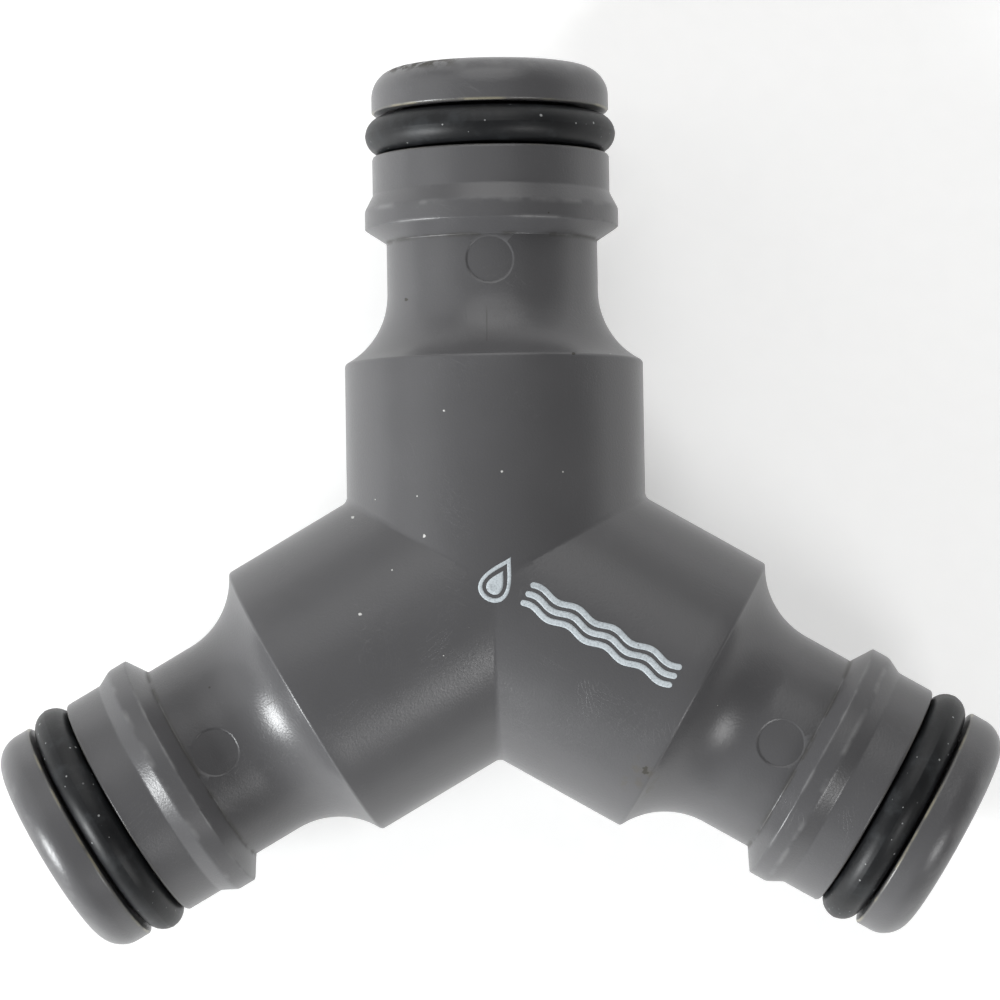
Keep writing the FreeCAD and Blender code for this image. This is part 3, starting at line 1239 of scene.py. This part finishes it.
@dataclass(frozen=True)
class GreyPlastic:
    """Satin grey injection-moulded plastic, lightly used, with painted highlight on some edges and lips and
    painted shade in the groove and at the collar's foot.
    """

    base: Colour = tint(0.087, 0.0862, 0.0893)
    # pale colour of rubbed edges and scratches, also used as painted edge highlight
    worn_and_highlight: Colour = tint(0.26, 0.26, 0.26)
    # dark colour of dirt, also used as painted shade in the groove and at the collar's foot
    soil_and_shade: Colour = tint(0.03, 0.027, 0.02)
    mud: Colour = tint(0.075, 0.062, 0.032)
    # beige of the lip stain, also used as painted highlight on the groove lips
    beige_and_highlight: Colour = tint(0.3, 0.275, 0.19)
    dust: Colour = tint(0.66, 0.66, 0.64)
    roughness: float = 0.325
    specular: float = 0.5
    relief: float = 0.011
    clouds: Patches = Patches(0.16, 3.0, 0.35, 0.65)
    # patches of rubbed wear and painted edge highlight
    rubbing_and_highlight: Patches = Patches(0.55, 3.0, 0.42, 0.66)
    # patches of lip stain and painted highlight
    lip_stain_and_highlight: Patches = Patches(0.42, 3.0, 0.44, 0.58)
    # patches of dirt and painted shade at the collar's foot
    foot_dirt_and_shade: Patches = Patches(0.8, 3.0, 0.38, 0.55)
    crust: Patches = Patches(1.3, 4.0, 0.42, 0.54, 0.62)
    mud_stain: Patches = Patches(1.3, 4.0, 0.46, 0.6, 0.62)
    dark_specks: Specks = Specks(2.6, 0.09, 0.3, 11.0)
    pale_specks: Specks = Specks(1.6, 0.068, 0.3, 3.0)
    scratches: tuple[Hairlines, ...] = (
        Hairlines(28.0, 2.6, 0.3, 0.05),
        Hairlines(-41.0, 1.7, 0.26, 0.06),
        Hairlines(84.0, 2.2, 0.33, 0.07),
    )
    knit_lines: tuple[KnitLine, ...] = (
        KnitLine(Arm.INLET, -0.24, 15.8, 18.5),
        KnitLine(Arm.LEFT_OUTLET, 0.85, 15.8, 17.4),
    )
    dirty_rim: tuple[float, float] = (-7.6, -1.4)
    dust_spots: tuple[Spot, ...] = (
        Spot(Arm.INLET, -3.1, 11.3, 0.1),
        Spot(Arm.INLET, 0.6, 7.3, 0.09),
        Spot(Arm.INLET, -4.5, 3.2, 0.1),
        Spot(Arm.LEFT_OUTLET, 8.7, 5.8, 0.09),
        Spot(Arm.LEFT_OUTLET, 2.8, 8.5, 0.1),
    )
    soil_spots: tuple[Spot, ...] = (
        Spot(Arm.INLET, -5.6, 19.0, 0.14),
        Spot(Arm.INLET, 5.4, 15.0, 0.11),
        Spot(Arm.RIGHT_OUTLET, 5.9, 14.5, 0.26),
    )
    mud_spot: Spot = Spot(Arm.RIGHT_OUTLET, 6.5, 14.5, 1.3)

    def wear_and_highlight(self, graph: Graph, chart: ArmChart, moulding: Moulding) -> Signal:
        """Edges that are pale: partly rubbed wear, partly a painted edge highlight.

        Args:
            graph: The material's nodes.
            chart: Where a point lies.
            moulding: Gives the edges' distances.

        Returns:
            1 where an edge is rubbed pale or painted as a highlight.
        """
        # painted edge highlight as well as rubbed wear on the collar and nose edges
        edges = chart.ring(moulding.collar_end - 0.1, moulding.collar_radius, 0.3)
        edges = edges.most(chart.ring(moulding.collar_rise, moulding.collar_radius, 0.22))
        edges = edges.most(chart.ring(moulding.nose_end - 0.5, moulding.nose_radius - 0.5, 0.8) * 0.6)
        return edges * graph.patches(self.rubbing_and_highlight)

    def soiled_and_shaded(self, graph: Graph, chart: ArmChart, moulding: Moulding) -> Signal:
        """Painted shade with some dirt in the seal's groove and at the collar's foot; dirt on a rim, in the
        knit lines and in spots.

        Args:
            graph: The material's nodes.
            chart: Where a point lies.
            moulding: Gives the corners' distances.

        Returns:
            How much dirt and painted shade darken the plastic, from 0 to 1.
        """
        # the groove and the collar's foot are darkened as painted shade, with some dirt
        groove = chart.along.near((moulding.groove_start + moulding.groove_end) / 2.0, 1.75)
        groove = groove * chart.radial.rise(moulding.nose_radius - 0.12, moulding.floor_radius + 0.8)
        foot = chart.ring(moulding.collar_start, moulding.neck_radius, 0.3)
        dirt_and_shade = (groove * 0.75).most(foot * graph.patches(self.foot_dirt_and_shade) * 0.55)
        dirt_and_shade = dirt_and_shade.most(graph.specks(self.dark_specks) * 0.8)
        ragged = graph.noise(3.2, 2.0)
        for mark in self.soil_spots:
            dirt_and_shade = dirt_and_shade.most(chart.spot(mark, ragged) * 0.95)
        rim = chart.rim(Arm.INLET, moulding.nose_end, *self.dirty_rim)
        dirt_and_shade = dirt_and_shade.most(rim * graph.patches(self.crust))
        for line in self.knit_lines:
            dirt_and_shade = dirt_and_shade.most(chart.knit_line(line) * 0.55)
        return dirt_and_shade

    def stained_and_lit_lips(self, graph: Graph, chart: ArmChart, moulding: Moulding) -> Signal:
        """Beige stain and painted highlight on the two lips of the seal's groove, stronger on the nose's
        side.

        Args:
            graph: The material's nodes.
            chart: Where a point lies.
            moulding: Gives the lips' distances.

        Returns:
            How much stain and painted highlight cover the plastic, from 0 to 1.
        """
        # pale beige lines on the groove's lips: partly stain, partly painted highlight
        nose_lip = chart.ring(moulding.groove_end, moulding.nose_radius, 0.22)
        land_lip = chart.ring(moulding.groove_start, moulding.nose_radius, 0.13)
        return nose_lip.most(land_lip * 0.5) * (graph.patches(self.lip_stain_and_highlight) * 0.8 + 0.15)

    def scratched(self, graph: Graph) -> Signal:
        """Hairlines of every direction together.

        Args:
            graph: The material's nodes.

        Returns:
            1 on a scratch.
        """
        lines = graph.hairlines(self.scratches[0])
        for kind in self.scratches[1:]:
            lines = lines.most(graph.hairlines(kind))
        return lines

    def dusted(self, graph: Graph, chart: ArmChart) -> Signal:
        """Pale dust, scattered and in single spots.

        Args:
            graph: The material's nodes.
            chart: Where a point lies.

        Returns:
            1 in a speck of dust.
        """
        dust = graph.specks(self.pale_specks)
        ragged = graph.noise(4.5, 1.0)
        for mark in self.dust_spots:
            dust = dust.most(chart.spot(mark, ragged))
        return dust

    def make(self, moulding: Moulding) -> bpy.types.Material:
        """Build the material, each layer over the one before.

        Args:
            moulding: Gives the distances of the edges that are rubbed and painted with highlight and the
                corners that hold dirt and painted shade.

        Returns:
            The material.
        """
        graph = Graph("grey_plastic")
        chart = ArmChart.of(graph)
        clouds = graph.uncut(self.clouds)
        grain = graph.noise(6.5, 2.0)
        rubbed_and_lit = self.wear_and_highlight(graph, chart, moulding)
        lines = self.scratched(graph)
        muddy = chart.spot(self.mud_spot, graph.noise(0.9, 2.0)) * 0.35 * graph.patches(self.mud_stain)
        soiled_and_shaded = self.soiled_and_shaded(graph, chart, moulding)
        dust = self.dusted(graph, chart)
        colour = graph.mix(clouds.cut(self.clouds), dimmed(self.base, 0.96), self.base)
        # pale edges: rubbed wear with painted edge highlight
        colour = graph.mix(rubbed_and_lit * 0.35, colour, self.worn_and_highlight)
        # groove lips: stain with painted highlight
        colour = graph.mix(self.stained_and_lit_lips(graph, chart, moulding), colour, self.beige_and_highlight)
        colour = graph.mix(lines * 0.07, colour, self.worn_and_highlight)
        colour = graph.mix(muddy * 0.85, colour, self.mud)
        # dirt, with painted shade in the groove and at the collar's foot
        colour = graph.mix(soiled_and_shaded, colour, self.soil_and_shade)
        colour = graph.mix(dust * 0.85, colour, self.dust)
        graph.set("Base Color", colour)
        rough = self.roughness + (clouds - 0.5) * 0.12 + (grain - 0.5) * 0.06
        rough = rough + rubbed_and_lit * 0.05 + lines * 0.1 + soiled_and_shaded * 0.3 + muddy * 0.2 + dust * 0.3
        graph.set("Roughness", rough)
        height = grain + graph.noise(0.9, 2.0) * 0.3 - lines * 0.24 + dust * 0.8 + soiled_and_shaded * 0.2
        graph.bump(height, self.relief)
        graph.set("Specular IOR Level", self.specular)
        return graph.material


@dataclass(frozen=True)
class BlackRubber:
    """Satin black rubber with a bloom of dust."""

    base: Colour = tint(0.009, 0.0095, 0.0105)
    bloom: Colour = tint(0.021, 0.023, 0.025)
    dust: Colour = tint(0.36, 0.37, 0.37)
    specular: float = 0.27
    roughness: float = 0.44
    relief: float = 0.008
    film: Patches = Patches(0.55, 4.0, 0.48, 0.72, 0.62)
    dusty: Patches = Patches(0.32, 2.0, 0.36, 0.5)
    fine_dust: Specks = Specks(0.55, 0.085, 0.5, 5.0)
    coarse_dust: Specks = Specks(1.1, 0.115, 0.5, 27.0)

    def make(self) -> bpy.types.Material:
        """Build the material: a bloom in patches, fine dust where it is dusty, coarse dust all over.

        Returns:
            The material.
        """
        graph = Graph("black_rubber")
        film = graph.uncut(self.film)
        grain = graph.noise(7.0, 2.0)
        fine = graph.specks(self.fine_dust) * graph.patches(self.dusty)
        dust = fine.most(graph.specks(self.coarse_dust))
        colour = graph.mix(film.cut(self.film), self.base, self.bloom)
        colour = graph.mix(dust * 0.75, colour, self.dust)
        graph.set("Base Color", colour)
        rough = self.roughness + (film - 0.5) * 0.3 + (grain - 0.5) * 0.1 + dust * 0.3
        graph.set("Roughness", rough)
        graph.bump(grain * 0.6 + film + dust, self.relief)
        graph.set("Specular IOR Level", self.specular)
        return graph.material


@dataclass(frozen=True)
class PrintInk:
    """Pale pad-printed ink, thin enough for the plastic to show in places."""

    base: Colour = tint(0.53, 0.58, 0.61)
    thin: Colour = tint(0.3, 0.33, 0.35)
    bare: Colour = tint(0.13, 0.13, 0.135)
    roughness: float = 0.6
    relief: float = 0.003
    mottle: Patches = Patches(1.6, 3.0, 0.45, 0.7)
    grain: Patches = Patches(8.0, 2.0, 0.46, 0.66)
    missing: Specks = Specks(0.42, 0.075, 0.2, 31.0)

    def make(self) -> bpy.types.Material:
        """Build the material: ink that thins in a mottle and a grain, with specks where it is gone.

        Returns:
            The material.
        """
        graph = Graph("print_ink")
        mottle, grain = graph.uncut(self.mottle), graph.uncut(self.grain)
        thinned = mottle.cut(self.mottle) * 0.35 + grain.cut(self.grain) * 0.5
        gone = graph.specks(self.missing)
        colour = graph.mix(thinned, self.base, self.thin)
        colour = graph.mix(gone * 0.7, colour, self.bare)
        graph.set("Base Color", colour)
        graph.set("Roughness", self.roughness + (mottle - 0.5) * 0.3 - gone * 0.1)
        graph.bump(grain * 0.7 + mottle * 0.5 - gone, self.relief)
        return graph.material


@dataclass(frozen=True)
class PaleCard:
    """The matt white sheet, lit a little from below, that the fitting lies on."""

    base: Colour = tint(0.88, 0.88, 0.875)
    glow: float = 0.36
    roughness: float = 0.85
    relief: float = 0.01
    fibre: Patches = Patches(0.7, 3.0, 0.3, 0.7)

    def make(self) -> bpy.types.Material:
        """Build the material.

        Returns:
            The material.
        """
        graph = Graph("pale_card")
        fibre = graph.uncut(self.fibre)
        colour = graph.mix(fibre.cut(self.fibre), dimmed(self.base, 0.985), self.base)
        graph.set("Base Color", colour)
        graph.set("Roughness", self.roughness + (fibre - 0.5) * 0.1)
        graph.set("Emission Color", colour)
        graph.set("Emission Strength", self.glow)
        graph.bump(fibre, self.relief)
        return graph.material


# ---------------------------------------------------------------- the studio


@dataclass(frozen=True)
class Lamp:
    """A soft round lamp. Azimuth is counted from +X towards +Y and elevation from the floor, in degrees."""

    name: str
    azimuth: float
    elevation: float
    diameter: float
    power: float
    colour: tuple[float, float, float] = (1.0, 1.0, 1.0)
    distance: float = 0.6

    def build(self) -> bpy.types.Object:
        """Hang the lamp so that it faces the fitting.

        Returns:
            The lamp.
        """
        light = bpy.data.lights.new(self.name, "AREA")
        light.shape = "DISK"
        light.size = self.diameter
        light.energy = self.power
        light.color = self.colour
        lamp = bpy.data.objects.new(self.name, light)
        azimuth, elevation = math.radians(self.azimuth), math.radians(self.elevation)
        level = math.cos(elevation)
        way = Vector((level * math.cos(azimuth), level * math.sin(azimuth), math.sin(elevation)))
        lamp.location = way * self.distance
        lamp.rotation_euler = way.to_track_quat("Z", "Y").to_euler()
        lamp.visible_camera = False
        bpy.context.scene.collection.objects.link(lamp)
        return lamp


@dataclass
class Studio:
    """Floor, lamps and camera.

    The lamps' lengths and the floor's side and curl are in metres, the other lengths in millimetres.
    """

    lamps: tuple[Lamp, ...] = (
        Lamp("window_low_left", 210.0, 20.0, 0.19, 4.3, (0.97, 0.99, 1.0)),
        Lamp("wall_left", 155.0, 30.0, 0.5, 0.5),
        Lamp("wall_behind_low", 90.0, 14.0, 0.6, 0.75),
        Lamp("wall_behind", 88.0, 44.0, 0.6, 1.5),
        Lamp("window_right", 312.0, 40.0, 0.22, 1.1),
        Lamp("wall_front", 250.0, 22.0, 0.4, 0.15),
    )
    ambient: Colour = tint(1.0, 1.0, 1.0)
    ambient_strength: float = 0.12
    floor_side: float = 3.0
    floor_curl: float = 1.1
    floor_lines: int = 49
    floor_gap: float = 0.02
    camera_place: tuple[float, float, float] = (6.6, -4.45, 300.0)
    camera_turn: tuple[float, float, float] = (1.93, 1.24, -0.93)
    lens: float = 160.9

    def lay_floor(self, level: float) -> bpy.types.Object:
        """Make the floor as a grid that curls up beyond half its reach by a square law.

        Args:
            level: Height of the floor in metres.

        Returns:
            The floor.
        """
        count = self.floor_lines
        reach = self.floor_side / 2.0
        side = np.linspace(-1.0, 1.0, count) * reach
        x, y = np.meshgrid(side, side, indexing="ij")
        curl = np.maximum(np.hypot(x, y) / reach - 0.5, 0.0) ** 2 * self.floor_curl
        grid = np.stack([x, y, level + curl], axis=-1).reshape(-1, 3)
        faces = grid_faces(count, count, 0, wrap=False)[:, ::-1]
        mesh = bpy.data.meshes.new("floor")
        mesh.from_pydata(grid.tolist(), [], faces.tolist())
        mesh.shade_smooth()
        mesh.materials.append(PaleCard().make())
        floor = bpy.data.objects.new("floor", mesh)
        bpy.context.scene.collection.objects.link(floor)
        return floor

    def set_camera(self) -> bpy.types.Object:
        """Hang the camera above the fitting, looking almost straight down.

        Returns:
            The camera.
        """
        lens = bpy.data.cameras.new("camera")
        lens.lens = self.lens
        lens.sensor_width = 36.0
        lens.clip_start = 0.01
        camera = bpy.data.objects.new("camera", lens)
        camera.location = Vector(self.camera_place) * MM
        camera.rotation_euler = tuple(math.radians(angle) for angle in self.camera_turn)
        bpy.context.scene.collection.objects.link(camera)
        bpy.context.scene.camera = camera
        return camera

    def fill_world(self) -> None:
        """Give the room its even light."""
        world = bpy.data.worlds.new("room")
        world.use_nodes = True
        background = world.node_tree.nodes["Background"]
        background.inputs["Color"].default_value = self.ambient
        background.inputs["Strength"].default_value = self.ambient_strength
        bpy.context.scene.world = world
        bpy.context.scene.view_settings.view_transform = "Standard"

    def build(self) -> None:
        """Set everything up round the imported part."""
        self.lay_floor(cad_box[0][2] - self.floor_gap * MM)
        self.fill_world()
        for lamp in self.lamps:
            lamp.build()
        self.set_camera()


def dress(piece: bpy.types.Object, material: bpy.types.Material) -> None:
    """Give a piece its one material."""
    piece.data.materials.clear()
    piece.data.materials.append(material)


def main() -> None:
    """Build the pieces in order and report each one."""
    logging.basicConfig(level=logging.INFO, format="%(name)s: %(message)s")
    moulding = Moulding().from_frame()
    dress(moulding.build(), GreyPlastic().make(moulding))
    rubber = BlackRubber().make()
    for arm in Arm:
        dress(SealRing(arm).build(), rubber)
    dress(WaterSign(moulding).build(), PrintInk().make())
    Studio().build()


if __name__ == "__main__":
    main()
